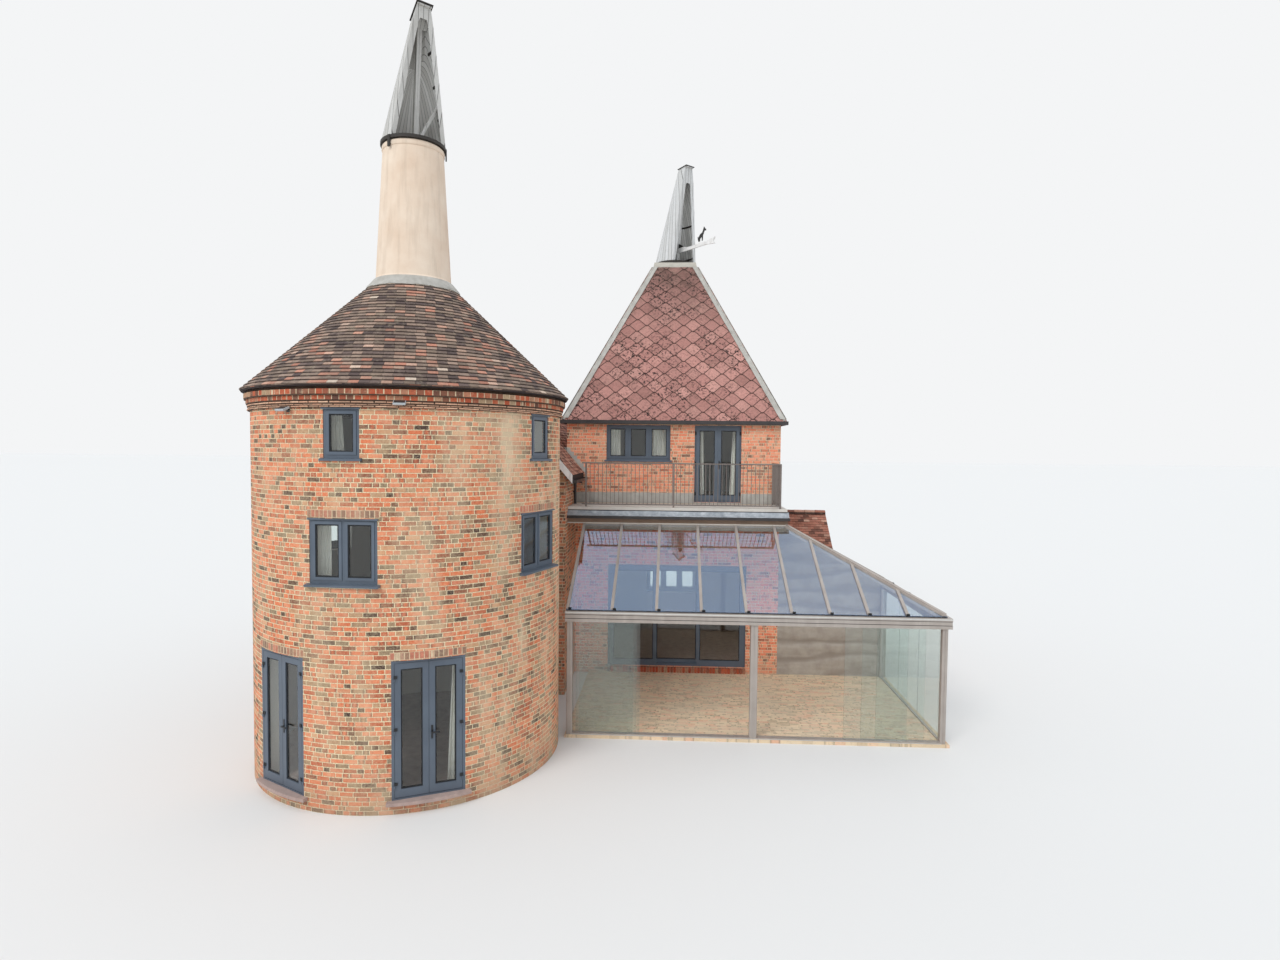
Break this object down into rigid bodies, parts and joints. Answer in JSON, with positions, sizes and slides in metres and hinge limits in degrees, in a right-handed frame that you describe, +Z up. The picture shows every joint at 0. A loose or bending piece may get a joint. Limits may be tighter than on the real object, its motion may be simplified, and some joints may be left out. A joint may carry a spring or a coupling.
{
  "type": "oast house",
  "caption": "Converted oast house with a round kiln, a square kiln, turning cowls, a gabled stowage, a railed balcony and a glazed veranda",
  "frame": {"origin": "the round kiln's axis at the base of its walls", "axes": "+Z up; +X along the front from the round kiln to the veranda; +Y from the front to the back"},
  "size_m": [13.4848, 13.5139, 13.9601],
  "materials": {
    "brick": "fired clay facing brick in lime mortar",
    "kiln_brick": "fired clay facing brick in lime mortar",
    "clay_tile": "plain clay roof tiles, weathered",
    "pink_tile": "diamond-cut clay roof tiles, weathered",
    "render": "lime render with a worn cream wash",
    "joinery": "anthracite satin finish",
    "glass": "clear double-glazed units",
    "toughened_glass": "clear toughened glass",
    "boards": "white painted boards, weathered",
    "iron": "black painted iron",
    "white_timber": "white painted timber",
    "dark_timber": "stained timber",
    "floor_boards": "oiled boards on joists",
    "concrete": "cement and stone, pale",
    "lead": "milled lead sheet, dull",
    "gutter": "black",
    "railing": "dark brown satin",
    "aluminium": "powder-coated champagne grey",
    "pavers": "brick pavers"
  },
  "bodies": {
    "house": {"ground_floors": "concrete", "upper_floors": "floor_boards", "roundel_wall_front": "brick", "roundel_wall_right": "brick", "roundel_wall_back": "brick", "roundel_wall_left": "brick", "roundel_upper_wall_front": "brick", "roundel_upper_wall_right": "brick", "roundel_upper_wall_back": "brick", "roundel_cornice": "brick", "roundel_roof": "clay_tile", "roundel_stack": "render", "roundel_window_frames": "joinery", "roundel_window_glass": "glass", "roundel_door_frames": "joinery", "roundel_sills": "concrete", "cowl_bearings": "iron", "kiln_front_wall_lower": "kiln_brick", "kiln_front_wall_upper": "kiln_brick", "kiln_left_wall": "kiln_brick", "kiln_right_wall": "kiln_brick", "kiln_back_wall": "kiln_brick", "kiln_roof": "pink_tile", "kiln_hips": "lead", "gutters": "gutter", "house_window_frames": "joinery", "house_window_glass": "glass", "kiln_upper_doors": "joinery", "kiln_slider_frame": "joinery", "balcony_deck": "dark_timber", "balcony_apron": "lead", "balcony_railing": "railing", "veranda_floor": "pavers", "veranda_frame": "aluminium", "veranda_bars": "aluminium", "veranda_glass": "toughened_glass", "veranda_rear_wall": "concrete", "stowage_walls": "brick", "wing_walls": "kiln_brick", "low_roofs": "clay_tile", "bargeboards": "white_timber"},
    "left_door_a": {"left_door_leaf_a": "joinery", "left_door_glass_a": "glass"},
    "left_door_b": {"left_door_leaf_b": "joinery", "left_door_glass_b": "glass"},
    "right_door_a": {"right_door_leaf_a": "joinery", "right_door_glass_a": "glass"},
    "right_door_b": {"right_door_leaf_b": "joinery", "right_door_glass_b": "glass"},
    "kiln_slider": {"kiln_slider_leaf": "joinery", "kiln_slider_leaf_glass": "glass"},
    "left_pane_a": {"left_pane_a": "toughened_glass"},
    "left_pane_b": {"left_pane_b": "toughened_glass"},
    "right_pane_a": {"right_pane_a": "toughened_glass"},
    "right_pane_b": {"right_pane_b": "toughened_glass"},
    "roundel_cowl": {"roundel_cowl_boards": "boards", "roundel_cowl_frame": "iron"},
    "kiln_cowl": {"kiln_cowl_boards": "boards", "kiln_cowl_frame": "iron", "kiln_cowl_vane": "white_timber"}
  },
  "joints": [
    {"name": "left_door_a_hinge", "type": "hinge", "parent": "house", "child": "left_door_a", "pos_m": [-1.81442, -2.13575, 1.3], "axis": [0, 0, 1], "range_deg": [-100, 0]},
    {"name": "left_door_b_hinge", "type": "hinge", "parent": "house", "child": "left_door_b", "pos_m": [-0.8962, -2.65525, 1.3], "axis": [0, 0, 1], "range_deg": [0, 100]},
    {"name": "right_door_a_hinge", "type": "hinge", "parent": "house", "child": "right_door_a", "pos_m": [0.65661, -2.72441, 1.3], "axis": [0, 0, 1], "range_deg": [-100, 0]},
    {"name": "right_door_b_hinge", "type": "hinge", "parent": "house", "child": "right_door_b", "pos_m": [1.61738, -2.28858, 1.3], "axis": [0, 0, 1], "range_deg": [0, 100]},
    {"name": "kiln_slider_travel", "type": "slide", "parent": "house", "child": "kiln_slider", "axis": [1, 0, 0], "range_m": [-1.04, 0]},
    {"name": "left_pane_a_travel", "type": "slide", "parent": "house", "child": "left_pane_a", "axis": [1, 0, 0], "range_m": [-0.06, 1.103]},
    {"name": "left_pane_b_travel", "type": "slide", "parent": "house", "child": "left_pane_b", "axis": [1, 0, 0], "range_m": [-0.13, 2.198]},
    {"name": "right_pane_a_travel", "type": "slide", "parent": "house", "child": "right_pane_a", "axis": [1, 0, 0], "range_m": [-0.883, 0.29]},
    {"name": "right_pane_b_travel", "type": "slide", "parent": "house", "child": "right_pane_b", "axis": [1, 0, 0], "range_m": [-1.708, 0.64]},
    {"name": "roundel_cowl_swing", "type": "hinge", "parent": "house", "child": "roundel_cowl", "pos_m": [0, 0, 12], "axis": [0, 0, 1], "continuous": true},
    {"name": "kiln_cowl_swing", "type": "hinge", "parent": "house", "child": "kiln_cowl", "pos_m": [5.015, 7.55, 12], "axis": [0, 0, 1], "continuous": true}
  ]
}
